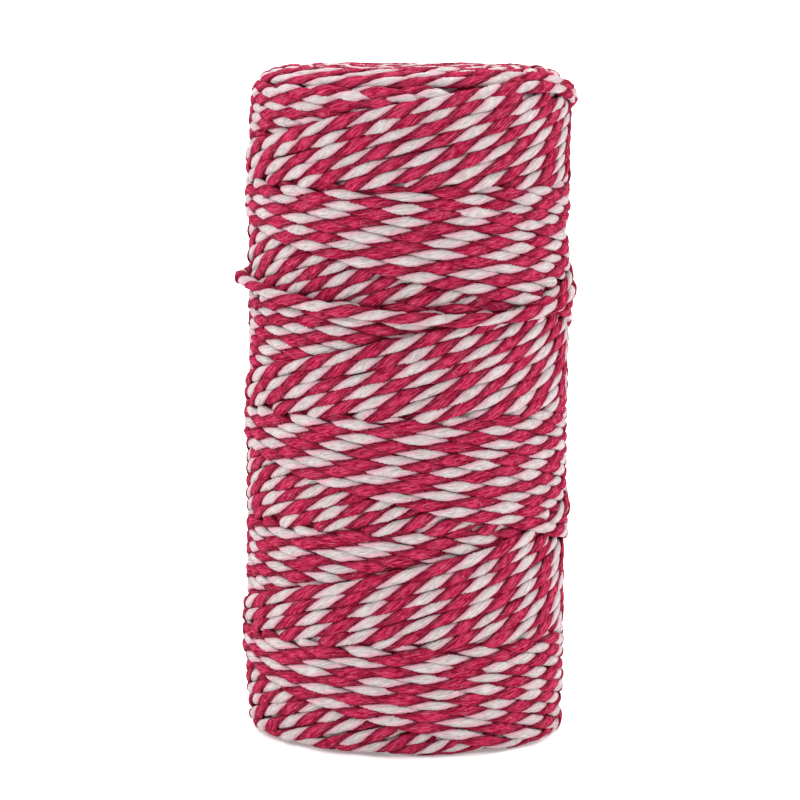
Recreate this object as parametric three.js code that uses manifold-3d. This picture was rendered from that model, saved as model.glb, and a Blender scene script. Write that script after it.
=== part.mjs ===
// A roll of two-ply cotton twine, standing on one end, in millimetres with +Z up and its front towards -Y.
// The twine is cross-wound: it climbs the roll in about three turns, turns back at the shoulder and comes down
// in about three more, and each round trip lies one twine width beside the last. Where a climbing turn and a
// falling turn cross, the newer one is on top, which gives the roll its bands of slanting turns.
import * as THREE from "three";
import { mergeVertices } from "three/addons/utils/BufferGeometryUtils.js";
import Module from "manifold-3d";

// Driving dimensions of the wound roll
const ROLL_HEIGHT = 100;
const ROLL_RADIUS = 24.45; // to the crest of the newest turns
const TWINE_WIDTH = 1.85;
const FLAT_SPOT_RADIUS = 22.3; // the flat ring and disc that the roll stands on

// Winding law, with angles in degrees round the roll
const TURNS_SIDE_BY_SIDE = 18; // twine widths that fill the roll once round
const TWINE_STEP = 360 / TURNS_SIDE_BY_SIDE;
const ROUND_TRIP = 6 * 360 - TWINE_STEP; // up and down once, one twine width short of six turns
const CLIMB = 1054; // angle travelled on the way up
const NEWEST_START = 65; // where the newest climbing turn leaves the base, measured from the front
const ROWS = ROUND_TRIP / TWINE_STEP; // rows of crossings between the two ends

// Where the twine turns back at each end
const LOW_TURN = 0.25; // height of the two turning points, if they were sharp corners
const HIGH_TURN = 99.25;
const LOW_EASE = 0.024; // share of the climb over which the corner is rounded off
const HIGH_EASE = 0.045;

// Relief of the surface
const GROOVE = 0.5; // depth of the groove between two turns
const DIP = 0.3; // how far a turn sinks where it slips under another
const LAYER_FALL = 1.0; // radius lost from the newest turns to the oldest
const UNEVEN = 0.12; // slow swell of the hand-soft roll

// Shoulder and foot, where the roll draws in
const SHOULDER_START = 16; // radius where the top begins to round off
const SHOULDER_EDGE = 23.4;
const SHOULDER_DROP = 2.6; // fall of the top from its flat middle to its edge
const RIM_TAPER_HEIGHT = 7;
const TOP_TAPER = 0.45;
const FOOT_TAPER = 0.7;
const RIM_POINTS = 2 * TURNS_SIDE_BY_SIDE;
const TOP_RIDGES = 5; // rings of twine raised on the top, from the shoulder inwards

// The slack last turn: angle from the front, height, and how far its middle stands off the roll's crests
const SLACK_TURN = [
  { angle: -172, height: 70.6, off: -1.2 },
  { angle: -140, height: 69.4, off: 0.5 },
  { angle: -105, height: 68.4, off: 1.0 },
  { angle: -88, height: 68.2, off: 1.1 },
  { angle: -70, height: 67.9, off: 0.7 },
  { angle: -50, height: 66.7, off: 0.4 },
  { angle: -25, height: 65.4, off: 0.3 },
  { angle: 0, height: 64.5, off: 0.3 },
  { angle: 25, height: 64.2, off: 0.3 },
  { angle: 50, height: 64.7, off: 0.3 },
  { angle: 75, height: 66.4, off: 0.3 },
  { angle: 95, height: 67.6, off: 0.4 },
  { angle: 130, height: 68.2, off: 0.3 },
  { angle: 172, height: 67.6, off: -1.2 },
];
const SLACK_SIDES = 8;
const SLACK_STEPS = 44;

const twineCotton = new THREE.MeshStandardMaterial({
  name: "cotton_twine",
  color: 0xc27a8a,
  roughness: 0.9,
  metalness: 0,
});

const smooth = (x) => {
  const s = THREE.MathUtils.clamp(x, 0, 1);
  return s * s * (3 - 2 * s);
};

// Height of the twine at a share of the climb, with both turning points rounded off.
function climbHeight(share) {
  const span = HIGH_TURN - LOW_TURN;
  if (share < LOW_EASE) {
    return LOW_TURN + span * (LOW_EASE / 2 + share ** 2 / (2 * LOW_EASE));
  }
  const left = 1 - share;
  if (left < HIGH_EASE) {
    return HIGH_TURN - span * (HIGH_EASE / 2 + left ** 2 / (2 * HIGH_EASE));
  }
  return LOW_TURN + span * share;
}

// Radius of the crests before the layers' own relief: straight, drawn in a little near both ends.
function formRadius(angle, height) {
  const swell =
    Math.sin(THREE.MathUtils.degToRad(angle) + height / 9) +
    Math.sin(THREE.MathUtils.degToRad(2 * angle) - height / 5);
  const top = smooth(1 - (ROLL_HEIGHT - height) / RIM_TAPER_HEIGHT);
  const foot = smooth(1 - height / RIM_TAPER_HEIGHT);
  return ROLL_RADIUS + (UNEVEN / 2) * swell - TOP_TAPER * top - FOOT_TAPER * foot;
}

function pointAt(angle, radius, height) {
  const a = THREE.MathUtils.degToRad(angle);
  return new THREE.Vector3(radius * Math.sin(a), -radius * Math.cos(a), height);
}

const age = (turn) => THREE.MathUtils.euclideanModulo(turn, TURNS_SIDE_BY_SIDE);

// The crossing of climbing turn i and falling turn j: the newer one is on top.
function climbingOnTop(i, j) {
  return age(i) < age(j + 1);
}

// How far the crests at a crossing lie below the newest ones.
function layerFall(i, j) {
  return (LAYER_FALL * (age(i) + age(j + 1))) / (2 * TURNS_SIDE_BY_SIDE);
}

// A closed triangle mesh that is filled point by point, where each named point is made once.
class Surface {
  constructor() {
    this.positions = [];
    this.faces = [];
    this.known = new Map();
  }

  point(name, make) {
    if (!this.known.has(name)) {
      this.known.set(name, this.positions.length / 3);
      this.positions.push(...make().toArray());
    }
    return this.known.get(name);
  }

  triangle(a, b, c) {
    this.faces.push(a, b, c);
  }

  geometry() {
    const made = new THREE.BufferGeometry();
    made.setAttribute("position", new THREE.Float32BufferAttribute(this.positions, 3));
    made.setIndex(this.faces);
    return made;
  }
}

// A place on the roll given in turns: u counts across the climbing turns and v across the falling ones.
function place(u, v, depth) {
  const share = (v - u) / ROWS;
  const angle = NEWEST_START + TWINE_STEP * u + CLIMB * share;
  const height = climbHeight(share);
  return pointAt(angle, formRadius(angle, height) - depth, height);
}

const insideRows = (row) => row > 0 && row < ROWS;

// The corner where four turns' edges meet, at the bottom of the groove.
function corner(surface, i, j) {
  const row = j - i;
  return surface.point(`corner ${row} ${age(i)}`, () => {
    const fall =
      (layerFall(i, j) + layerFall(i - 1, j) + layerFall(i, j - 1) + layerFall(i - 1, j - 1)) / 4;
    return place(i, j, fall + GROOVE);
  });
}

// The crest of climbing turn i where it crosses the edge of falling turn j.
function climbingCrest(surface, i, j) {
  const above = climbingOnTop(i, j) || !insideRows(j - i);
  const below = climbingOnTop(i, j - 1) || !insideRows(j - 1 - i);
  if (!above && !below) return null;
  const dip = above && below ? 0 : DIP;
  const fall = (layerFall(i, j) + layerFall(i, j - 1)) / 2;
  return surface.point(`climbing ${j - i} ${age(i)}`, () => place(i + 0.5, j, fall + dip));
}

// The crest of falling turn j where it crosses the edge of climbing turn i.
function fallingCrest(surface, i, j) {
  const right = !climbingOnTop(i, j) || !insideRows(j - i);
  const left = !climbingOnTop(i - 1, j) || !insideRows(j - i + 1);
  if (!right && !left) return null;
  const dip = right && left ? 0 : DIP;
  const fall = (layerFall(i, j) + layerFall(i - 1, j)) / 2;
  return surface.point(`falling ${j - i} ${age(i)}`, () => place(i, j + 0.5, fall + dip));
}

// One side of a crest, as triangles that all share its first point; a crest that isn't there is skipped.
function fan(surface, ...around) {
  const [shared, ...rim] = around.filter((point) => point !== null);
  for (let k = 1; k < rim.length; k += 1) surface.triangle(shared, rim[k - 1], rim[k]);
}

// The facets over the crossing of climbing turn i and falling turn j, folded along the crest of the newer one.
function crossing(surface, i, j) {
  const left = corner(surface, i, j);
  const low = corner(surface, i + 1, j);
  const right = corner(surface, i + 1, j + 1);
  const high = corner(surface, i, j + 1);
  const lowLeft = climbingCrest(surface, i, j);
  const highRight = climbingCrest(surface, i, j + 1);
  const highLeft = fallingCrest(surface, i, j);
  const lowRight = fallingCrest(surface, i + 1, j);
  if (climbingOnTop(i, j)) {
    fan(surface, highRight, lowLeft, low, lowRight, right);
    fan(surface, lowLeft, highRight, high, highLeft, left);
  } else {
    fan(surface, highLeft, left, lowLeft, low, lowRight);
    fan(surface, lowRight, right, highRight, high, highLeft);
  }
}

// The crest of the twine in the middle of its turn back at an end.
function turnBackCrest(surface, i, j) {
  return surface.point(`turn back ${j - i} ${age(i)}`, () => place(i + 0.5, j + 0.5, layerFall(i, j)));
}

// The half crossing at the top, where climbing turn i comes back as falling turn j.
function turnBackAtTop(surface, i, j) {
  const left = corner(surface, i, j);
  const low = corner(surface, i + 1, j);
  const right = corner(surface, i + 1, j + 1);
  const up = climbingCrest(surface, i, j);
  const down = fallingCrest(surface, i + 1, j);
  const crest = turnBackCrest(surface, i, j);
  surface.triangle(left, up, crest);
  surface.triangle(up, down, crest);
  surface.triangle(up, low, down);
  surface.triangle(down, right, crest);
  return [left, crest];
}

// The half crossing at the foot, where falling turn j goes back up as climbing turn i.
function turnBackAtFoot(surface, i, j) {
  const left = corner(surface, i, j);
  const right = corner(surface, i + 1, j + 1);
  const high = corner(surface, i, j + 1);
  const down = fallingCrest(surface, i, j);
  const up = climbingCrest(surface, i, j + 1);
  const crest = turnBackCrest(surface, i, j);
  surface.triangle(left, crest, down);
  surface.triangle(crest, up, down);
  surface.triangle(down, up, high);
  surface.triangle(crest, right, up);
  return [left, crest];
}

// A ring of points round the roll at one radius and height.
function ringAt(surface, name, startAngle, radius, height) {
  const ring = [];
  for (let k = 0; k < RIM_POINTS; k += 1) {
    const angle = startAngle + (360 * k) / RIM_POINTS;
    ring.push(surface.point(`${name} ${k}`, () => pointAt(angle, radius, height)));
  }
  return ring;
}

// The band between two rings; the outer ring is the one met first on the way to the axis.
function joinRings(surface, outer, inner, facingUp) {
  for (let k = 0; k < RIM_POINTS; k += 1) {
    const next = (k + 1) % RIM_POINTS;
    if (facingUp) {
      surface.triangle(outer[k], outer[next], inner[next]);
      surface.triangle(outer[k], inner[next], inner[k]);
    } else {
      surface.triangle(outer[k], inner[next], outer[next]);
      surface.triangle(outer[k], inner[k], inner[next]);
    }
  }
}

function closeRing(surface, ring, name, height, facingUp) {
  const middle = surface.point(name, () => new THREE.Vector3(0, 0, height));
  for (let k = 0; k < RIM_POINTS; k += 1) {
    const next = (k + 1) % RIM_POINTS;
    if (facingUp) surface.triangle(ring[k], ring[next], middle);
    else surface.triangle(ring[next], ring[k], middle);
  }
}

// Height of the crests on top of the roll, level in the middle and falling to the shoulder.
function topHeight(radius) {
  const out = Math.max(0, (radius - SHOULDER_START) / (SHOULDER_EDGE - SHOULDER_START));
  return ROLL_HEIGHT - SHOULDER_DROP * out ** 3;
}

// The top, from the rim inwards: rings of twine, then a level plain middle.
function topEnd(surface, rim, startAngle) {
  let outer = rim;
  for (let ridge = 0; ridge < TOP_RIDGES; ridge += 1) {
    const crestRadius = SHOULDER_EDGE - TWINE_WIDTH * (ridge + 0.6);
    const grooveRadius = crestRadius - TWINE_WIDTH / 2;
    const crest = ringAt(surface, `top crest ${ridge}`, startAngle, crestRadius, topHeight(crestRadius));
    const grooveHeight = topHeight(grooveRadius) - GROOVE;
    const groove = ringAt(surface, `top groove ${ridge}`, startAngle, grooveRadius, grooveHeight);
    joinRings(surface, outer, crest, true);
    joinRings(surface, crest, groove, true);
    outer = groove;
  }
  const levelRadius = SHOULDER_EDGE - TWINE_WIDTH * (TOP_RIDGES + 0.6);
  const level = ringAt(surface, "top level", startAngle, levelRadius, ROLL_HEIGHT);
  joinRings(surface, outer, level, true);
  closeRing(surface, level, "top middle", ROLL_HEIGHT, true);
}

// The foot: the last turns tuck in to the flat spot.
function footEnd(surface, rim, startAngle) {
  const flat = ringAt(surface, "flat spot", startAngle, FLAT_SPOT_RADIUS, 0);
  joinRings(surface, rim, flat, false);
  closeRing(surface, flat, "foot middle", 0, false);
}

// The whole wound form, closed at both ends.
function woundForm() {
  const surface = new Surface();
  const topRim = [];
  const footRim = [];
  for (let i = 0; i < TURNS_SIDE_BY_SIDE; i += 1) {
    footRim.push(...turnBackAtFoot(surface, i, i));
    for (let row = 1; row < ROWS; row += 1) crossing(surface, i, i + row);
    topRim.push(...turnBackAtTop(surface, i, i + ROWS));
  }
  footEnd(surface, footRim, NEWEST_START);
  topEnd(surface, topRim, NEWEST_START + CLIMB);
  return surface.geometry();
}

// The middle line of the slack last turn.
function slackRoute() {
  const points = SLACK_TURN.map(({ angle, height, off }) =>
    pointAt(angle, formRadius(angle, height) - LAYER_FALL / 2 + off, height),
  );
  return new THREE.CatmullRomCurve3(points, false, "centripetal");
}

// The slack last turn as a plain round strand.
function slackTurn() {
  const section = new THREE.Shape();
  section.absarc(0, 0, TWINE_WIDTH / 2, 0, 2 * Math.PI, false);
  return new THREE.ExtrudeGeometry(section, {
    extrudePath: slackRoute(),
    steps: SLACK_STEPS,
    curveSegments: SLACK_SIDES / 2,
    bevelEnabled: false,
  });
}

// A closed geometry as a solid that can be joined.
function solidOf(wasm, geometry) {
  const bare = geometry.clone();
  bare.deleteAttribute("normal");
  bare.deleteAttribute("uv");
  const merged = mergeVertices(bare, 1e-4);
  return new wasm.Manifold(
    new wasm.Mesh({
      numProp: 3,
      vertProperties: merged.getAttribute("position").array,
      triVerts: new Uint32Array(merged.index.array),
    }),
  );
}

function geometryOf(solid) {
  const mesh = solid.getMesh();
  const made = new THREE.BufferGeometry();
  made.setAttribute("position", new THREE.BufferAttribute(mesh.vertProperties, 3));
  made.setIndex(new THREE.BufferAttribute(mesh.triVerts, 1));
  made.computeVertexNormals();
  return made;
}

const wasm = await Module();
wasm.setup();

const roll = new THREE.Mesh(
  geometryOf(solidOf(wasm, woundForm()).add(solidOf(wasm, slackTurn()))),
  twineCotton,
);
roll.name = "wound_twine";

const twineRoll = new THREE.Group();
twineRoll.add(roll);

export default twineRoll;
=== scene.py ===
"""A roll of two-ply cotton twine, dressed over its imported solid.

Every outer turn is laid where a winding machine lays it, from the newest to the oldest. Each turn is two
plies, one crimson and one white, twisted round each other. Lengths are in millimetres until the meshes are
made, and angles round the roll are in degrees from its front, growing to the right.
"""

import copy
from collections import namedtuple
import bpy
import numpy as np
from mathutils import Matrix, Vector


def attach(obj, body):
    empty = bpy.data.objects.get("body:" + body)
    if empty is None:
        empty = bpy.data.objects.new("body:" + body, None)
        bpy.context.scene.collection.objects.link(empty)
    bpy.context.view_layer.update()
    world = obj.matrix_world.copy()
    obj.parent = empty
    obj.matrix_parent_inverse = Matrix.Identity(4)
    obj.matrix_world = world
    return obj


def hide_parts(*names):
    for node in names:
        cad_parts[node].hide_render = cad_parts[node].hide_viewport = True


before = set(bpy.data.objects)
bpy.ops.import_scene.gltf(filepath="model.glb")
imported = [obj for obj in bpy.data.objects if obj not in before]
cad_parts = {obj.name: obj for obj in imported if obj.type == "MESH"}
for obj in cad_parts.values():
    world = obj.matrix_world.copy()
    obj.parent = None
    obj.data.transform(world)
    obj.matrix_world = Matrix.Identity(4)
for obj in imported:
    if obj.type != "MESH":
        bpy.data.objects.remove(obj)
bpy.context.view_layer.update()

MM = 0.001

# The roll, as in its solid
ROLL_HEIGHT = 100.0
ROLL_RADIUS = 24.45  # to the crests of the newest turns
TWINE_WIDTH = 1.85
LAYER_FALL = 1.0  # from the newest outer turns down to the oldest
UNEVEN = 0.12  # slow swell of the roll
SWELL_RISES = (9.0, 5.0)  # height over which each of its two waves turns by a radian, one each way
PROUD = 0.15  # the round plies stand a little above the solid's straight facets
PROUD_FROM = 12.0  # inside this radius, that and the swell fade out

# Radius and height of the crests: foot from its middle out, side, shoulder, and top in to its middle
OUTLINE = np.array([
    (0.0, 0.0), (12.0, 0.0), (22.2, 0.0), (23.0, 0.12), (23.55, 0.55), (23.78, 1.3), (23.85, 2.2),
    (23.98, 3.4), (24.1, 5.0), (24.35, 6.4), (ROLL_RADIUS, 8.0),
    (ROLL_RADIUS, 91.5), (24.4, 93.0), (24.25, 94.6), (24.05, 96.0), (23.72, 97.05), (23.2, 97.75),
    (22.5, 98.35), (21.4, 99.0), (20.0, 99.6), (18.0, 99.95), (16.0, ROLL_HEIGHT), (8.0, ROLL_HEIGHT),
    (0.0, ROLL_HEIGHT),
])
OUTLINE_STEP = 0.1
CORNER_ROUNDING = 6  # steps to each side over which its corners are rounded
NORMAL_ROUNDING = 60  # steps to each side over which the directions of depth swing round them

# The shoulder stands higher on its right, between two distances along the outline
RIM_SWELL = 0.26
RIM_SWELL_AT = 80.0  # angle where it is highest
RIM_SWELL_FROM = 92.0
RIM_SWELL_RISE = 5.0  # distance over which it rises from there
RIM_SWELL_TO = 118.0
RIM_SWELL_FALL = 15.0  # distance over which it falls towards there

# Places where turns stand off or lie deeper: angle, distance up, half width in angle and up, and how far
LOOSE_PLACES = ((92, 32.6, 6, 1.1, 0.7), (91, 76.0, 9, 1.5, -1.2), (5, 100.3, 45, 1.8, -0.45))

# Winding law
TURNS_SIDE_BY_SIDE = 18
TWINE_STEP = 360.0 / TURNS_SIDE_BY_SIDE
ROUNDS_A_TRIP = 6
ROUND_TRIP = ROUNDS_A_TRIP * 360.0 - TWINE_STEP  # once up and down
CLIMB = 1054.0
FALL = ROUND_TRIP - CLIMB
ROWS = ROUND_TRIP / TWINE_STEP  # crossing turns met on each climb or fall
NEWEST_START = 65.0
LOW_TURN = 0.25  # heights of the two turning points, if they were sharp
HIGH_TURN = 99.25
LOW_EASE = 0.014  # share of the climb over which each is rounded off
HIGH_EASE = 0.024
FOOT_SLIP = 1.8  # turns slip this far over the lower edge
FOOT_SLIP_HEIGHT = 5.0
WANDER = 0.12  # how far turns stray sideways
WANDER_LENGTHS = (14, 60)  # shortest and longest wave of that, along the twine
STEADY_PARTS = 12  # turns stray less in the first and the last of this many parts of a climb or fall
MEAN_DEPTH = 1.2  # of the twine under the newest crests
MEAN_SLOPE = 12.5
ROUND_TRIP_LENGTH = np.radians(ROUND_TRIP) * (ROLL_RADIUS - MEAN_DEPTH) / np.cos(np.radians(MEAN_SLOPE))

# How turns lie over each other
COVERED_DEPTH = 1.15  # how much deeper a turn lies under each newer one
COVERED_AT_RIM = 1.35
MOST_COVERED = 2  # more newer turns than this press it no deeper
COVER_REACH = 1.2  # a turn covers what lies this far to its side
SLIP = 0.35  # half the width over which a turn slips under its neighbour
BURIED = 1.1  # a turn under more newer ones than this soon no longer covers what lies beside it
BURIED_EASE = 0.5  # how many more until it covers nothing
HIDDEN = 0.97  # a turn under more newer ones than this isn't made
HIDDEN_AT_RIM = 1.5  # the same near the ends, where turns pass each other slowly
HIDDEN_MARGIN = 5  # this many places beyond what shows are still made
SOFT_PLACES = 4  # places to each side over which a turn bends down under another
RIM_HEIGHT = 7.0  # how far from a turning point counts as near it
FINE_RIM = 0.6  # where nearness to it is above this, every reckoned place is made

# Older turns that show on both ends of the roll
OLDER_TURNS = 6  # in each layer
OLDER_STEP = 1.85  # how much further in each older layer turns back
OLDER_START = -0.7  # how much further in all of these layers do
OLDER_SHIFT = 23.0  # angle from the turns of one layer to those of the next
OLDER_STRAY = 0.2  # how far one strays round the roll, as a share of the way to its neighbour
OLDER_STRAY_IN = 0.2  # and how far it strays inwards
OLDER_ARC = 72.0  # half the arc that is laid of an older turn
OLDER_SAG = 2.5  # how far it falls away from the middle of its arc to its ends
TUCK_DEPTH = 1.6  # how deep its ends are tucked in
TUCK_ARC = 15.0
END_FALL = 0.1  # how deep the uppermost turns on the ends lie
ANY_TWIST = 1000.0  # length of twine within which the twist of an older turn starts
STRIDE_SPARE = 2.0  # added to its radius, which sets how far apart its rings are
TOP_LAYERS = range(2, 11)
FOOT_LAYERS = range(1, 3)

# Turns coiled side by side: over the shoulder, and below the older turns of the top and the foot
COIL_PITCH = 1.72
COIL_WANDER = 0.08
COIL_WANDER_ARCS = (50, 400)  # shortest and longest wave of that, in degrees
COIL_HEART = 0.35  # radius where the coils of the top and the foot end
SHOULDER_START = 1.2  # how far in from where the newest turns turn back
SHOULDER_START_ANGLE = 200.0
SHOULDER_ROUNDS = 2.6
TOP_COIL_RADIUS = 18.0
FOOT_COIL_RADIUS = 20.5

# Slack turns over the others: angle, distance up, and how far the middle stands off the mean crests
SLACK_TURN = (
    (-172, 70.6, -1.2), (-140, 69.4, 0.5), (-105, 68.4, 0.8), (-88, 68.2, 0.9), (-70, 67.9, 0.6),
    (-50, 66.7, 0.4), (-25, 65.4, 0.3), (0, 64.5, 0.3), (25, 64.2, 0.3), (50, 64.7, 0.3),
    (75, 66.4, 0.1), (95, 67.6, -0.1), (130, 68.2, 0.1), (172, 67.6, -1.2),
)
RIM_TURN = (
    (0, 103.4, -1.4), (25, 102.2, -0.3), (45, 100.6, 0.1), (60, 99.2, 0.2), (75, 97.8, 0.1),
    (86, 96.5, 0.0), (96, 95.2, -0.1), (108, 93.8, -0.1), (125, 92.4, -0.2), (145, 91.4, -1.4),
)
SLACK_LAY = 21.7  # degrees round the roll for one twist of a slack turn
SLACK_WHITE_AT = -55.0  # where the slack turn's white ply faces out
RIM_WHITE_AT = 66.0
SLACK_CELL = 1.2  # degrees between two rings
SLACK_BEND = 9  # rings to each side over which its way up is rounded
SLACK_LIFT_BEND = 7  # and its way off the crests

# Twine: two plies, each pressed flat against the other
PLY_NAMES = ("crimson", "white")
PLY_REACH = 0.94  # from the middle of the twine to the outside of a ply
# Half of a ply's section, from its outside to the face on the other ply: towards the outside, and across
HALF_SECTION = ((PLY_REACH, 0.0), (0.83, 0.44), (0.50, 0.78), (0.10, 0.79), (-0.04, 0.0))
# The whole section, from the face on the other ply round the outside and back
SECTION = np.array(HALF_SECTION[::-1] + tuple((reach, -across) for reach, across in HALF_SECTION[1:-1]))
SIDES = len(SECTION)
PLY_SIZES = ((1.06, 1.12), (0.96, 0.91))  # out and across: the crimson ply is a little fuller
SLUBS = 0.09  # how much a ply swells and thins along its length
SLUB_LENGTHS = (3, 30)
ROUGHNESS = 0.025  # small unevenness of a ply's surface
END_SIZE = 0.1  # share of its size to which a ply is drawn in at both ends of a stretch
PRESSED = 0.75  # turns are pressed flatter on the roll
WIDENED = 1.11  # and spread until they meet
CREST_SHARE = 0.93  # crests are reckoned at this share of a pressed turn's half thickness
HALF_TWINE = PRESSED * PLY_REACH * CREST_SHARE
LAY = 9.05  # length of one full twist
LAY_WANDER = 0.32  # slow drift of the twist, in full twists
LAY_WANDER_LENGTHS = (120, 900)
FOOT_PRESS = 0.2  # twine lower than this is pressed flat by what the roll stands on

# How finely the turns are reckoned and made
CELL = 0.8  # degrees between the places where a turn is reckoned
CHART_STEP = 0.25  # distance along the outline between the places where cover is counted
LEAST_RADIUS = 1.0  # the lean of a turn is reckoned as if it were no nearer to the middle
STRIDE = 2  # places between two rings of a ply's mesh on the side of the roll
TOP_STRIDE = 4  # the same in the coil of the top
FOOT_STRIDE = 5  # the same in the coil of the foot
LEAST_RINGS = 4  # shorter stretches aren't made
GROUP_NAMES = ("newest_turns", "middle_turns", "oldest_turns", "end_turns")
NEWEST_GROUP = 0
END_GROUP = 3
PASSES_A_GROUP = 6
OVERLAP_RINGS = 3  # by which the turns of one group run on into the next

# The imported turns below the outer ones
BODY_DEPTH = 2.05  # under the crests
BODY_EASE = 0.4  # how much deeper they lie at both ends
BODY_RIPPLE = 0.1
BODY_STEP = 0.8
BODY_ANGLE = 4.0

# Loose fibres
FIBRES = 4000
FIBRE_RINGS = 4
FIBRE_SIDES = 3
FIBRE_LENGTH = (0.3, 1.5)
FIBRE_LIFT = (0.08, 0.8)  # how high a fibre arches
FIBRE_FLATTEST = 0.2  # share of that to which one may be pressed down
FIBRE_BEND = 0.5  # how much one curves to its side
FIBRE_ROOT = 0.12  # how deep both ends are in the twine
FIBRE_RADIUS = 0.014
FIBRE_TAPER = 0.6  # share by which it thins towards its tip
FIBRE_COVER = 0.3  # fibres stand on turns with less than this over them
FIBRE_DOWN = -0.3  # and not where the surface faces down more than this

# Cotton of the plies; each ply's sides are painted darker as shade, and strays are fibres of the other ply
# that cling to one
Cotton = namedtuple("Cotton", "colors side_color side_share stray_color stray_share stray_from")
COTTONS = (
    Cotton(
        colors=((0.19, 0.0008, 0.016), (0.39, 0.011, 0.060), (0.51, 0.037, 0.100)),
        # dark painted shade on the sides of the crimson ply
        side_color=(0.15, 0.0005, 0.011),
        side_share=0.7,
        stray_color=(0.60, 0.25, 0.32),
        stray_share=0.5,
        stray_from=0.555,
    ),
    Cotton(
        colors=((0.42, 0.36, 0.357), (0.54, 0.482, 0.477), (0.61, 0.56, 0.555)),
        # painted shade on the sides of the white ply, greyer and pinker than its middle
        side_color=(0.66, 0.32, 0.40),
        side_share=0.85,
        stray_color=(0.56, 0.20, 0.28),
        stray_share=0.4,
        stray_from=0.59,
    ),
)
COLOR_STOPS = (0.43, 0.5, 0.57)
STRAY_TO = 0.68
CREST = 0.5  # rounds from the face on the other ply to the outside
SIDE_SHADE_FROM = 0.10  # rounds from there where the painted shade on the sides of a ply begins
SIDE_SHADE_TO = 0.32
FIBRE_LEAN = 0.06  # how far the fibres lean round a ply, as a share of a round for each millimetre along
BROAD_STREAKS = (0.75, 13.0)  # how many to a millimetre along and to a round across
FINE_STREAKS = (2.0, 30.0)
STRAY_STREAKS = (0.5, 40.0)
PATCHES = 330.0  # to a metre
BROAD_SHARE = 0.65
FINE_SHARE = 0.22
PATCH_SHARE = 0.13
RELIEF = 0.0006  # metres
# The packed turns are painted dark as the shade between the outer turns, and glow faintly as painted light
# seeping through the cotton
PACKED_SHADE_COLOR = (0.26, 0.014, 0.045)
PACKED_PAINTED_GLOW = 0.25
FIBRE_COLOR = (0.60, 0.42, 0.46)

# The photograph's view: the lens, distance, height, pitch and roll that its outline and turns give
PICTURE_PIXELS = 800
FOCAL_PIXELS = 3448
SENSOR_WIDTH = 36.0
CAMERA_PLACE = (-1.11, -514.9, 112.67)
CAMERA_PITCH = 6.96  # degrees down
CAMERA_ROLL = 0.63
CAMERA_END = 50  # metres

# The studio, in metres
FLOOR_REACH = 3.0  # half its width, how far it comes forward and how high it rises behind
FLOOR_BEND_FROM = 0.9
FLOOR_BEND = 1.2
FLOOR_BEND_STEPS = 16
FLOOR_COLOR = (0.97, 0.97, 0.97)
FLOOR_GLOW = 0.25
WORLD_LIGHT = 0.76
# Name, place, what it is aimed at, size and watts
LIGHTS = (
    ("key", (-0.35, -0.8, 0.8), (0, 0, 0.05), 0.6, 4.3),
    ("left", (-0.9, -0.05, 0.3), (0, 0, 0.05), 0.8, 1.8),
    ("right", (0.9, -0.05, 0.3), (0, 0, 0.05), 0.8, 3.7),
    ("sweep", (0, 0.5, 1.6), (0, 2.0, 0.6), 2.0, 60.0),
)

rng = np.random.default_rng(31)


def smooth(x):
    s = np.clip(x, 0, 1)
    return s * s * (3 - 2 * s)


def rounded(values, reach):
    """Running mean that keeps straight ends straight."""
    window = np.hanning(2 * reach + 1)
    padded = np.pad(values, reach, mode="reflect", reflect_type="odd")
    return np.convolve(padded, window / window.sum(), "valid")


def soften(values, reach):
    """Running mean with soft ends."""
    window = np.hanning(2 * reach + 3)
    window /= window.sum()
    return np.convolve(np.pad(values, reach + 1, mode="edge"), window, "valid")


def unit(vectors):
    return vectors / np.linalg.norm(vectors, axis=1, keepdims=True)


class Waves:
    """A smooth wander made of a few sine waves."""

    def __init__(self, size, lengths, count=5):
        shortest, longest = lengths
        self.length = np.exp(rng.uniform(np.log(shortest), np.log(longest), count))
        self.start = rng.uniform(0, 2 * np.pi, count)
        self.size = size * rng.uniform(0.5, 1.0, count) / np.sqrt(count / 2)

    def __call__(self, x):
        x = np.asarray(x, float)[..., None]
        return (self.size * np.sin(2 * np.pi * x / self.length + self.start)).sum(-1)


TWIST_DRIFT = Waves(LAY_WANDER, LAY_WANDER_LENGTHS, count=9)
SLUB_WAVES = [Waves(SLUBS, SLUB_LENGTHS, count=8) for _ in PLY_NAMES]


# Shape of the roll

Chart = namedtuple("Chart", "along radius height out up")


def spread_outline():
    """Evenly spaced points and normals of the outline, by the distance along it, the height on the side."""
    reach = np.concatenate(([0], np.cumsum(np.hypot(*np.diff(OUTLINE, axis=0).T))))
    middle = ROLL_HEIGHT / 2
    to_middle = np.interp(middle, OUTLINE[:, 1], reach)
    along = np.arange(reach[0], reach[-1], OUTLINE_STEP)
    radius = rounded(np.interp(along, reach, OUTLINE[:, 0]), CORNER_ROUNDING)
    height = rounded(np.interp(along, reach, OUTLINE[:, 1]), CORNER_ROUNDING)
    # Depth runs in directions that swing slowly round the edges, so that turns don't crowd together there.
    slope_r, slope_z = (np.gradient(rounded(values, NORMAL_ROUNDING)) for values in (radius, height))
    size = np.hypot(slope_r, slope_z)
    return Chart(along - to_middle + middle, radius, height, slope_z / size, -slope_r / size)


CHART = spread_outline()
FOOT_MIDDLE = CHART.along[0]
TOP_MIDDLE = CHART.along[-1]


def radius_at(along):
    return np.interp(along, CHART.along, CHART.radius)


def swell(angle, height):
    a = np.radians(angle)
    first, second = SWELL_RISES
    return UNEVEN / 2 * (np.sin(a + height / first) + np.sin(2 * a - height / second))


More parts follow.
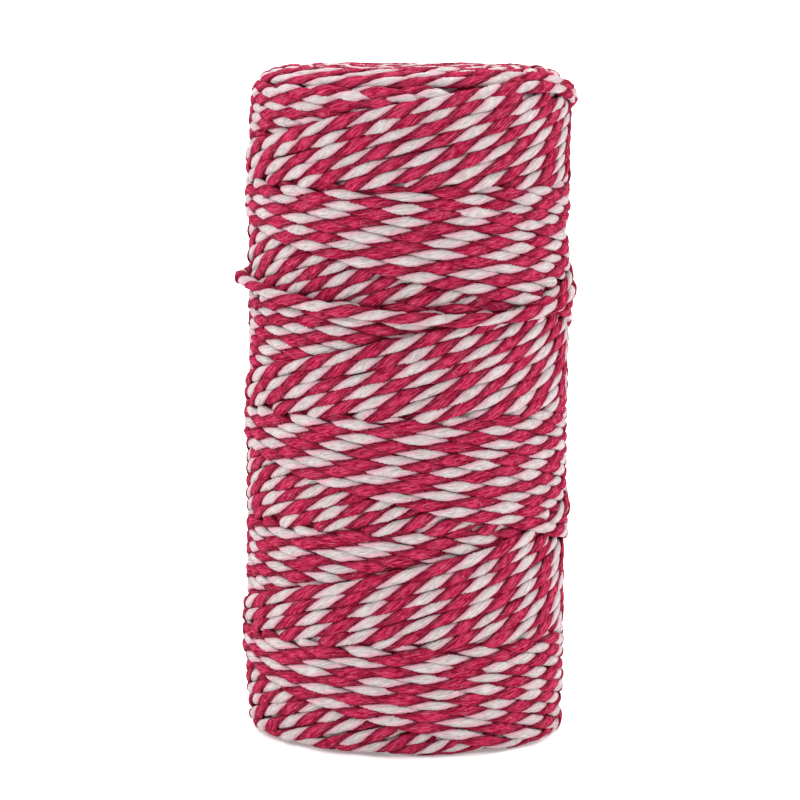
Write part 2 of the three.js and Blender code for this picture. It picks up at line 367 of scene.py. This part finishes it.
def on_roll(angle, along, depth):
    """Points and outward normals at a distance along the outline and a depth below the crests."""
    round_rim = (0.5 + 0.5 * np.cos(np.radians(angle - RIM_SWELL_AT))) ** 2
    begun = smooth((along - RIM_SWELL_FROM) / RIM_SWELL_RISE)
    still = smooth((RIM_SWELL_TO - along) / RIM_SWELL_FALL)
    depth = depth - RIM_SWELL * round_rim * begun * still
    for at, level, wide, tall, lift in LOOSE_PLACES:
        aside = np.mod(angle - at + 180, 360) - 180
        depth = depth - lift * np.exp(-((aside / wide) ** 2) - ((along - level) / tall) ** 2)
    radius, height, out, up = (np.interp(along, CHART.along, values) for values in CHART[1:])
    radius = radius + (PROUD + swell(angle, height)) * smooth(radius / PROUD_FROM)
    a = np.radians(angle)
    round_r = np.maximum(radius - out * depth, 0.0)
    points = np.stack([round_r * np.sin(a), -round_r * np.cos(a), height - up * depth], axis=-1)
    normals = np.stack([out * np.sin(a), -out * np.cos(a), up + 0 * a], axis=-1)
    return points, normals


def climb_height(share):
    """Height of the twine at a share of the climb, with both turning points rounded off."""
    span = HIGH_TURN - LOW_TURN
    low = LOW_TURN + span * (LOW_EASE / 2 + share**2 / (2 * LOW_EASE))
    high = HIGH_TURN - span * (HIGH_EASE / 2 + (1 - share) ** 2 / (2 * HIGH_EASE))
    plain = LOW_TURN + span * share
    return np.where(share < LOW_EASE, low, np.where(share > 1 - HIGH_EASE, high, plain))


LOWEST = float(climb_height(0.0))
HIGHEST = float(climb_height(1.0))


def nearness_to_rim(along):
    """1 at both turning points and beyond them, 0 on the side away from them."""
    return 1 - smooth((along - LOWEST) / RIM_HEIGHT) * smooth((HIGHEST - along) / RIM_HEIGHT)


# Laying of the turns

PLACE_VALUES = ("cell", "angle", "along", "tucked", "fall", "length", "cover")


class Turn:
    """A stretch of twine laid on the roll, reckoned at every cell of angle."""

    def __init__(self, group, cell, along, fall, length, stride, tucked=0.0):
        self.group = group
        self.stride = stride
        self.cell = cell
        self.angle = cell * CELL
        self.along = along
        self.tucked = tucked + 0 * along
        self.fall = fall + TUCK_DEPTH * self.tucked
        self.length = length
        self.cover = 0 * along

    def start_only(self, count):
        made = copy.copy(self)
        for name in PLACE_VALUES:
            setattr(made, name, getattr(self, name)[:count])
        return made


def cells_between(start, end):
    return np.arange(int(np.ceil(start / CELL)), int(np.floor(end / CELL)) + 1)


def other_age(place):
    """Age of the crossing turn at a place counted in turns, level between two neighbours' edges."""
    whole = np.floor(place)
    return np.mod(whole, TURNS_SIDE_BY_SIDE) + (place - whole - 0.5)


def half_trip(age, rising):
    """One climb or one fall of the pass with this age, 0 for the newest."""
    before = 0.0 if rising else CLIMB
    travel = CLIMB if rising else FALL
    start = NEWEST_START + TWINE_STEP * (age + 0.5) + before
    cell = cells_between(start, start + travel)
    done = (cell * CELL - start) / travel
    if rising:
        share = done
        crossing = other_age(age + 0.5 + ROWS * share + 1)
    else:
        share = 1 - done
        crossing = other_age(age + 0.5 + ROWS - ROWS * share)
    fall = LAYER_FALL * (age + crossing) / (2 * TURNS_SIDE_BY_SIDE)
    trips = TURNS_SIDE_BY_SIDE - 1 - age + (before + travel * done) / ROUND_TRIP
    length = ROUND_TRIP_LENGTH * trips
    stray = Waves(WANDER, WANDER_LENGTHS)(length)
    stray = stray * smooth(done * STEADY_PARTS) * smooth((1 - done) * STEADY_PARTS)
    along = climb_height(share)
    along = along + stray - FOOT_SLIP * (1 - smooth(along / FOOT_SLIP_HEIGHT))
    return Turn(age // PASSES_A_GROUP, cell, along, fall, length, STRIDE)


def end_turn(layer, number, top):
    """The part of an older layer's turn that shows on an end of the roll."""
    place = number + rng.uniform(-OLDER_STRAY, OLDER_STRAY)
    middle = 360 / OLDER_TURNS * place + OLDER_SHIFT * layer
    cell = cells_between(middle - OLDER_ARC, middle + OLDER_ARC)
    aside = cell * CELL - middle
    tucked = 1 - smooth((OLDER_ARC - np.abs(aside)) / TUCK_ARC)
    inward = OLDER_START + OLDER_STEP * layer + rng.uniform(-OLDER_STRAY_IN, OLDER_STRAY_IN)
    inward = inward - OLDER_SAG * (aside / OLDER_ARC) ** 2
    along = HIGHEST + inward if top else LOWEST - FOOT_SLIP - inward
    radius = radius_at(along[len(along) // 2])
    length = ANY_TWIST * rng.uniform(0, 1) + np.radians(aside) * radius
    stride = max(STRIDE, int(STRIDE * ROLL_RADIUS / (radius + STRIDE_SPARE)))
    return Turn(END_GROUP, cell, along, END_FALL, length, stride, tucked)


def coil(outer, inner, start, stride):
    """Turns coiled side by side, from one distance along the outline in to another."""
    rounds = abs(inner - outer) / COIL_PITCH
    cell = int(start / CELL) + np.arange(int(360 * rounds / CELL))
    along = np.linspace(outer, inner, len(cell)) + Waves(COIL_WANDER, COIL_WANDER_ARCS)(cell * CELL)
    length = np.cumsum(np.radians(CELL) * radius_at(along))
    return Turn(END_GROUP, cell, along, END_FALL, length, stride)


def lay_ends():
    """The turns on the top, then those on the foot, each from the newest to the oldest."""
    shoulder = HIGHEST + SHOULDER_START
    laid = [coil(shoulder, shoulder + SHOULDER_ROUNDS * COIL_PITCH, SHOULDER_START_ANGLE, STRIDE)]
    laid += [end_turn(layer, n, top=True) for layer in TOP_LAYERS for n in range(OLDER_TURNS)]
    laid.append(coil(TOP_MIDDLE - TOP_COIL_RADIUS, TOP_MIDDLE - COIL_HEART, 0.0, TOP_STRIDE))
    laid += [end_turn(layer, n, top=False) for layer in FOOT_LAYERS for n in range(OLDER_TURNS)]
    laid.append(coil(FOOT_MIDDLE + FOOT_COIL_RADIUS, FOOT_MIDDLE + COIL_HEART, 0.0, FOOT_STRIDE))
    return laid


def find_cover(turns):
    """Gives each place of each turn how many newer turns lie over it; the turns come newest first."""
    columns = int(round(360 / CELL))
    levels = np.arange(FOOT_MIDDLE, TOP_MIDDLE, CHART_STEP)
    cover = np.zeros((columns, len(levels)))
    for turn in turns:
        column = turn.cell % columns
        row = np.clip((turn.along - levels[0]) / CHART_STEP, 0, len(levels) - 2)
        low = row.astype(int)
        part = row - low
        turn.cover = cover[column, low] * (1 - part) + cover[column, low + 1] * part
        radius = np.maximum(radius_at(turn.along), LEAST_RADIUS)
        lean = np.hypot(1, np.gradient(turn.along) / (np.radians(CELL) * radius))
        gap = np.abs(levels[None, :] - turn.along[:, None]) / lean[:, None]
        strip = 1 - smooth((gap - COVER_REACH + SLIP) / (2 * SLIP))
        shows = (1 - turn.tucked) * (1 - smooth((turn.cover - BURIED) / BURIED_EASE))
        np.maximum.at(cover, column, (1 + turn.cover)[:, None] * strip * shows[:, None])


def joined(turns):
    """One long turn from turns that follow each other."""
    made = copy.copy(turns[0])
    for name in PLACE_VALUES:
        setattr(made, name, np.concatenate([getattr(turn, name) for turn in turns]))
    return made


def lay_turns():
    """All turns, with the wound ones of each group joined into one."""
    wound = []
    for age in range(TURNS_SIDE_BY_SIDE):
        wound += [half_trip(age, rising=False), half_trip(age, rising=True)]
    ends = lay_ends()
    find_cover(wound + ends)
    wound.reverse()
    chains = []
    for start in range(0, len(wound), 2 * PASSES_A_GROUP):
        end = start + 2 * PASSES_A_GROUP
        run = wound[start:end]
        if end < len(wound):
            run.append(wound[end].start_only(OVERLAP_RINGS * STRIDE))
        chains.append(joined(run))
    return chains + ends


# Meshes

def add_object(name, data):
    made = bpy.data.objects.new(name, data)
    bpy.context.scene.collection.objects.link(made)
    return made


def make_mesh(name, points, faces, material, uvs=None):
    """A smooth-shaded object from arrays, scaled to metres."""
    mesh = bpy.data.meshes.new(name)
    mesh.vertices.add(len(points))
    mesh.vertices.foreach_set("co", (points * MM).astype(np.float32).ravel())
    mesh.loops.add(faces.size)
    mesh.loops.foreach_set("vertex_index", faces.astype(np.int32).ravel())
    mesh.polygons.add(len(faces))
    mesh.polygons.foreach_set("loop_start", np.arange(0, faces.size, faces.shape[1], dtype=np.int32))
    mesh.polygons.foreach_set("use_smooth", np.ones(len(faces), bool))
    if uvs is not None:
        layer = mesh.uv_layers.new(name="ply")
        layer.data.foreach_set("uv", uvs.astype(np.float32).ravel())
    mesh.update(calc_edges=True)
    mesh.validate()
    mesh.materials.append(material)
    return add_object(name, mesh)


def tube_faces(rings, sides):
    """Four-sided faces between neighbouring rings of points, each ring closed on itself."""
    ring = np.arange(rings - 1)[:, None] * sides
    near = ring + np.arange(sides)
    beyond = ring + (np.arange(sides) + 1) % sides
    return np.stack([near, beyond, beyond + sides, near + sides], axis=-1).reshape(-1, 4)


def ply_places(length):
    """Where the corners of a ply's faces lie: millimetres along it, and rounds from its pressed face."""
    u = np.stack([length[:-1], length[:-1], length[1:], length[1:]], axis=-1)[:, None]
    v = (np.arange(SIDES)[:, None] + (0, 1, 1, 0)) / SIDES
    u, v = np.broadcast_arrays(u, v[None])
    return np.stack([u, v], axis=-1).reshape(-1, 2)


class Plies:
    """The mesh of one ply, 0 for crimson and 1 for white, of many stretches of twine."""

    def __init__(self, side):
        self.side = side
        self.points = []
        self.faces = []
        self.uvs = []
        self.count = 0

    def add(self, middle, normal, turned, length, pressed=1.0, widened=1.0):
        """One stretch: rings of the ply's section along the twine, drawn in tight at both ends."""
        rings = len(middle)
        tangent = unit(np.gradient(middle, axis=0))
        sideways = unit(np.cross(tangent, normal))
        out = np.cross(sideways, tangent) * pressed
        across = sideways * widened
        angle = turned + np.pi * self.side
        to_ply = np.cos(angle)[:, None] * out + np.sin(angle)[:, None] * across
        beside = -np.sin(angle)[:, None] * out + np.cos(angle)[:, None] * across
        full = 1 + SLUB_WAVES[self.side](length)
        full[[0, -1]] *= END_SIZE
        size = full[:, None] * (1 + rng.normal(0, ROUGHNESS, (rings, SIDES)))
        size_out, size_across = PLY_SIZES[self.side]
        reach = size * SECTION[:, 0] * size_out
        spread = size * SECTION[:, 1] * size_across
        ring = middle[:, None] + to_ply[:, None] * reach[..., None] + beside[:, None] * spread[..., None]
        low = np.minimum(ring[..., 2] / FOOT_PRESS - 1, 0)
        ring[..., 2] = np.where(low < 0, FOOT_PRESS * np.exp(low), ring[..., 2])
        self.points.append(ring.reshape(-1, 3))
        self.faces.append(tube_faces(rings, SIDES) + self.count)
        self.uvs.append(ply_places(length))
        self.count += rings * SIDES

    def mesh(self, name, material):
        points, faces, uvs = (np.concatenate(parts) for parts in (self.points, self.faces, self.uvs))
        return make_mesh(name, points, faces, material, uvs)


def twist(length):
    """Angle of the plies round the twine at a distance along it."""
    return -(2 * np.pi) * (length / LAY + TWIST_DRIFT(length))


def stretches(turn, rim):
    """The places that get a ring, for each stretch of a turn that shows."""
    shown = soften(turn.cover, SOFT_PLACES) < HIDDEN + (HIDDEN_AT_RIM - HIDDEN) * rim
    shown = np.convolve(shown, np.ones(2 * HIDDEN_MARGIN + 1), "same") > 0.5
    kept = np.mod(np.arange(len(rim)), turn.stride) == 0
    if turn.stride == STRIDE:
        kept |= rim > FINE_RIM
    edge = np.flatnonzero(np.diff(np.concatenate(([0], shown.astype(int), [0]))))
    picks = [start + np.flatnonzero(kept[start:end]) for start, end in zip(edge[::2], edge[1::2])]
    return [pick for pick in picks if len(pick) >= LEAST_RINGS]


def build_plies():
    """Both plies of every group of turns, and the places in open air where loose fibres can stand."""
    groups = [[Plies(side) for side in range(len(PLY_NAMES))] for _ in GROUP_NAMES]
    roots = []
    for turn in lay_turns():
        rim = nearness_to_rim(turn.along)
        covered_depth = COVERED_DEPTH + (COVERED_AT_RIM - COVERED_DEPTH) * rim
        under = turn.fall + covered_depth * np.minimum(turn.cover, MOST_COVERED)
        middle, normal = on_roll(turn.angle, turn.along, soften(under, SOFT_PLACES) + HALF_TWINE)
        turned = twist(turn.length)
        for pick in stretches(turn, rim):
            for plies in groups[turn.group]:
                plies.add(middle[pick], normal[pick], turned[pick], turn.length[pick], PRESSED, WIDENED)
            open_air = pick[(turn.cover[pick] < FIBRE_COVER) & (normal[pick, 2] > FIBRE_DOWN)]
            roots.append(np.concatenate([middle[open_air], normal[open_air]], axis=1))
    return groups, np.concatenate(roots)


def slack_turn(group, table, white_at):
    """A slack turn laid over the others."""
    angles, levels, offs = np.array(table, float).T
    angle = np.arange(angles[0], angles[-1], SLACK_CELL)
    along = soften(np.interp(angle, angles, levels), SLACK_BEND)
    off = soften(np.interp(angle, angles, offs), SLACK_LIFT_BEND)
    middle, normal = on_roll(angle, along, LAYER_FALL / 2 - off)
    length = np.concatenate(([0], np.cumsum(np.linalg.norm(np.diff(middle, axis=0), axis=1))))
    turned = np.pi - 2 * np.pi * (angle - white_at) / SLACK_LAY
    for plies in group:
        plies.add(middle, normal, turned, length)


def inner_body(material):
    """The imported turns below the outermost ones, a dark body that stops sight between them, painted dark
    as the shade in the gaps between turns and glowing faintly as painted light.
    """
    angle = np.arange(0, 360, BODY_ANGLE)
    along = np.arange(FOOT_MIDDLE, TOP_MIDDLE, BODY_STEP)
    angles, alongs = (values.ravel() for values in np.meshgrid(angle, along))
    ripple = BODY_RIPPLE * np.cos(2 * np.pi * alongs / TWINE_WIDTH)
    points, _ = on_roll(angles, alongs, BODY_DEPTH + BODY_EASE * nearness_to_rim(alongs) + ripple)
    return make_mesh("packed_turns_painted_shade", points, tube_faces(len(along), len(angle)), material)


def loose_fibres(roots, material):
    """Short stray cotton fibres that stand off the turns, each an arch with both ends in the twine."""
    pick = rng.integers(0, len(roots), FIBRES)
    normal = roots[pick, 3:]
    base = roots[pick, :3] + normal * HALF_TWINE
    wild = rng.normal(0, 1, (FIBRES, 3))
    run = unit(wild - (wild * normal).sum(1, keepdims=True) * normal)
    bend = np.cross(normal, run) * rng.normal(0, FIBRE_BEND, (FIBRES, 1))
    reach = rng.uniform(*FIBRE_LENGTH, (FIBRES, 1))
    lift = rng.uniform(*FIBRE_LIFT, (FIBRES, 1)) * rng.uniform(FIBRE_FLATTEST, 1, (FIBRES, 1))
    t = np.linspace(0, 1, FIBRE_RINGS)
    line = (
        base[:, None]
        + run[:, None] * (reach * (t - 0.5))[:, :, None]
        + bend[:, None] * (reach * (t - 0.5) ** 2)[:, :, None]
        + normal[:, None] * (lift * (1 - (2 * t - 1) ** 2) - FIBRE_ROOT)[:, :, None]
    )
    thick = FIBRE_RADIUS * (1 - FIBRE_TAPER * t)[None, :, None, None]
    around = (np.arange(FIBRE_SIDES) * 2 * np.pi / FIBRE_SIDES)[None, None, :, None]
    ring = (
        line[:, :, None]
        + thick * np.cos(around) * np.cross(run, normal)[:, None, None]
        + thick * np.sin(around) * normal[:, None, None]
    )
    first = (np.arange(FIBRES) * FIBRE_RINGS * FIBRE_SIDES)[:, None, None]
    faces = tube_faces(FIBRE_RINGS, FIBRE_SIDES) + first
    return make_mesh("loose_fibres", ring.reshape(-1, 3), faces.reshape(-1, 4), material)


# Materials

def fill(tree, socket, value):
    """Gives a socket a number, a colour or another node's output."""
    if isinstance(value, bpy.types.NodeSocket):
        tree.links.new(value, socket)
    else:
        socket.default_value = value


def add_node(tree, kind, inputs, **settings):
    made = tree.nodes.new(kind)
    for name, value in settings.items():
        setattr(made, name, value)
    for name, value in inputs.items():
        fill(tree, made.inputs[name], value)
    return made


def reckon(tree, operation, *values):
    return add_node(tree, "ShaderNodeMath", dict(enumerate(values)), operation=operation).outputs["Value"]


def stretched(tree, value, start, end, top, **settings):
    """A value that runs from start to end, made to run from 0 to top."""
    inputs = {"Value": value, "From Min": start, "From Max": end, "To Min": 0.0, "To Max": top}
    return add_node(tree, "ShaderNodeMapRange", inputs, **settings).outputs["Result"]


def mixed(tree, factor, first, second):
    """Two colours mixed by a factor."""
    made = tree.nodes.new("ShaderNodeMix")
    made.data_type = "RGBA"
    values = {"Factor": factor, "A": first, "B": second}
    for socket in made.inputs:
        if socket.enabled and socket.name in values:
            fill(tree, socket, values[socket.name])
    return next(socket for socket in made.outputs if socket.enabled)


def streaks(tree, place, counts):
    """Noise drawn out along the fibres."""
    drawn_out = add_node(tree, "ShaderNodeMapping", {"Vector": place, "Scale": (*counts, 1.0)})
    noise = {"Vector": drawn_out.outputs["Vector"], "Scale": 1.0, "Detail": 3.0, "Roughness": 0.6}
    return add_node(tree, "ShaderNodeTexNoise", noise).outputs["Fac"]


def new_material(name, inputs):
    material = bpy.data.materials.new(name)
    material.use_nodes = True
    for socket, value in inputs.items():
        material.node_tree.nodes["Principled BSDF"].inputs[socket].default_value = value
    return material


def plain(name, color, glow=0.0):
    full = (*color, 1)
    inputs = {"Base Color": full, "Roughness": 0.9, "Emission Color": full, "Emission Strength": glow}
    return new_material(name, inputs)


def cotton(name, look):
    """Matt cotton: fibres streak and roughen the ply, its sides are painted darker as shade where plies and
    turns press together, and a few strays cling to it.
    """
    material = new_material(name, {"Roughness": 0.95, "Specular IOR Level": 0.05})
    tree = material.node_tree
    place = add_node(tree, "ShaderNodeUVMap", {}, uv_map="ply").outputs["UV"]
    parts = add_node(tree, "ShaderNodeSeparateXYZ", {"Vector": place})
    along = parts.outputs["X"]
    around = parts.outputs["Y"]
    leaning = reckon(tree, "MULTIPLY_ADD", along, FIBRE_LEAN, around)
    fibres = add_node(tree, "ShaderNodeCombineXYZ", {"X": along, "Y": leaning}).outputs["Vector"]

    where = add_node(tree, "ShaderNodeTexCoord", {}).outputs["Object"]
    patches = add_node(tree, "ShaderNodeTexNoise", {"Vector": where, "Scale": PATCHES, "Detail": 2.0})
    value = reckon(tree, "MULTIPLY", streaks(tree, fibres, BROAD_STREAKS), BROAD_SHARE)
    value = reckon(tree, "MULTIPLY_ADD", streaks(tree, fibres, FINE_STREAKS), FINE_SHARE, value)
    value = reckon(tree, "MULTIPLY_ADD", patches.outputs["Fac"], PATCH_SHARE, value)
    ramp = add_node(tree, "ShaderNodeValToRGB", {"Fac": value})
    stops = ramp.color_ramp.elements
    stops.new(COLOR_STOPS[1])
    for stop, position, color in zip(stops, COLOR_STOPS, look.colors):
        stop.position = position
        stop.color = (*color, 1)

    # Painted shade: the colour darkens towards the sides of the ply, where it meets the other ply and the
    # neighbouring turns; on the white ply this side colour is also pinker
    off_crest = reckon(tree, "ABSOLUTE", reckon(tree, "SUBTRACT", around, CREST))
    side = stretched(tree, off_crest, SIDE_SHADE_FROM, SIDE_SHADE_TO, look.side_share, interpolation_type="SMOOTHSTEP")
    shaded = mixed(tree, side, ramp.outputs["Color"], (*look.side_color, 1))
    stray = streaks(tree, fibres, STRAY_STREAKS)
    stray = stretched(tree, stray, look.stray_from, STRAY_TO, look.stray_share)
    colored = mixed(tree, stray, shaded, (*look.stray_color, 1))
    bump = add_node(tree, "ShaderNodeBump", {"Height": value, "Strength": 1.0, "Distance": RELIEF})
    shader = tree.nodes["Principled BSDF"]
    tree.links.new(colored, shader.inputs["Base Color"])
    tree.links.new(bump.outputs["Normal"], shader.inputs["Normal"])
    return material


# Camera and studio

def add_camera():
    data = bpy.data.cameras.new("camera")
    data.sensor_width = SENSOR_WIDTH
    data.lens = SENSOR_WIDTH * FOCAL_PIXELS / PICTURE_PIXELS
    data.clip_end = CAMERA_END
    camera = add_object("camera", data)
    pitch = np.radians(CAMERA_PITCH)
    roll = np.radians(CAMERA_ROLL)
    turn = Matrix.Rotation(np.pi / 2 - pitch, 4, "X") @ Matrix.Rotation(roll, 4, "Z")
    camera.matrix_world = Matrix.Translation([length * MM for length in CAMERA_PLACE]) @ turn
    bpy.context.scene.camera = camera


def area_light(name, place, aim, size, power):
    data = bpy.data.lights.new(name, "AREA")
    data.size = size
    data.energy = power
    light = add_object(name, data)
    light.location = place
    light.rotation_euler = (Vector(aim) - Vector(place)).to_track_quat("-Z", "Y").to_euler()


def add_floor():
    """A white floor that sweeps up behind."""
    line = [(-FLOOR_REACH, 0.0), (FLOOR_BEND_FROM, 0.0)]
    for k in range(1, FLOOR_BEND_STEPS + 1):
        a = np.pi / 2 * k / FLOOR_BEND_STEPS
        line.append((FLOOR_BEND_FROM + FLOOR_BEND * np.sin(a), FLOOR_BEND * (1 - np.cos(a))))
    line.append((FLOOR_BEND_FROM + FLOOR_BEND, FLOOR_REACH))
    points = [(x, y, z) for y, z in line for x in (-FLOOR_REACH, FLOOR_REACH)]
    faces = [(2 * k, 2 * k + 1, 2 * k + 3, 2 * k + 2) for k in range(len(line) - 1)]
    material = plain("floor_white", FLOOR_COLOR, FLOOR_GLOW)
    floor = make_mesh("floor", np.array(points) / MM, np.array(faces), material)


def studio():
    """The floor, even light from all round, and lamps in front, on both sides and over the floor's sweep."""
    add_floor()
    world = bpy.data.worlds.new("studio")
    world.use_nodes = True
    background = world.node_tree.nodes["Background"]
    background.inputs["Color"].default_value = (1, 1, 1, 1)
    background.inputs["Strength"].default_value = WORLD_LIGHT
    bpy.context.scene.world = world
    for light in LIGHTS:
        area_light(*light)
    bpy.context.scene.view_settings.view_transform = "Standard"


add_camera()
cottons = [cotton(f"{name}_cotton", look) for name, look in zip(PLY_NAMES, COTTONS)]
packed_shade_glow = plain("packed_shade_glow", PACKED_SHADE_COLOR, PACKED_PAINTED_GLOW)
fibre_cotton = plain("fibre_cotton", FIBRE_COLOR)

groups, roots = build_plies()
slack_turn(groups[NEWEST_GROUP], SLACK_TURN, SLACK_WHITE_AT)
slack_turn(groups[NEWEST_GROUP], RIM_TURN, RIM_WHITE_AT)
pieces = []
for group_name, group in zip(GROUP_NAMES, groups):
    for ply_name, plies, material in zip(PLY_NAMES, group, cottons):
        pieces.append(plies.mesh(f"{group_name}_{ply_name}", material))
pieces.append(inner_body(packed_shade_glow))
pieces.append(loose_fibres(roots, fibre_cotton))
for piece in pieces:
    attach(piece, "root")
    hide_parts("wound_twine")
studio()
